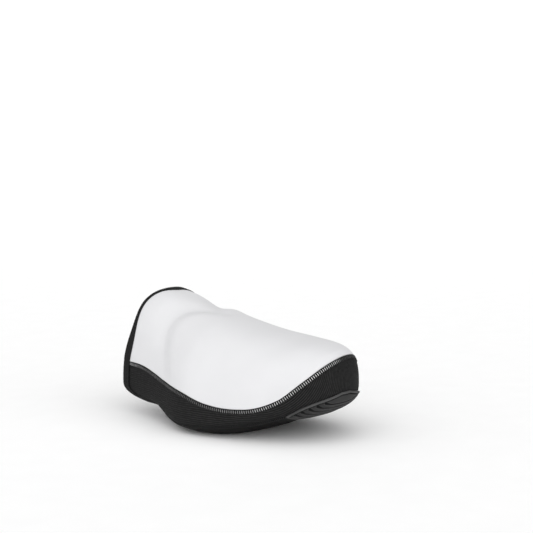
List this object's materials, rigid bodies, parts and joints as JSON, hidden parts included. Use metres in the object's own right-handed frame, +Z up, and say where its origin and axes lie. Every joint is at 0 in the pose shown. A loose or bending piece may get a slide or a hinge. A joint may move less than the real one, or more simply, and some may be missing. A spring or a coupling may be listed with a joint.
{
  "type": "cycling toe cover",
  "caption": "Toe cover pulled over a road cycling shoe: smooth upper, ribbed side strip, bound rear mouth, cleat opening and rubber toe grip.",
  "frame": {"origin": "centre of the bounding box's bottom: the plane that the sole rests on", "axes": "+Z up, the toe points to -Y, the outer (little-toe) side of this right-foot cover to -X"},
  "size_m": [0.1128, 0.1952, 0.0993],
  "materials": {
    "coated_cloth": "smooth satin coating on stretch cloth, white",
    "ribbed_cloth": "hard-wearing ribbed cloth, black, dull",
    "sole_cloth": "plain black cloth, dull",
    "binding_tape": "folded stretch tape, black, dull",
    "grip_rubber": "moulded rubber, dark grey, semi-matte"
  },
  "bodies": {
    "root": {"upper_panel": "coated_cloth", "side_strip": "ribbed_cloth", "sole_panel": "sole_cloth", "rear_binding": "binding_tape", "toe_grip": "grip_rubber"}
  },
  "joints": []
}
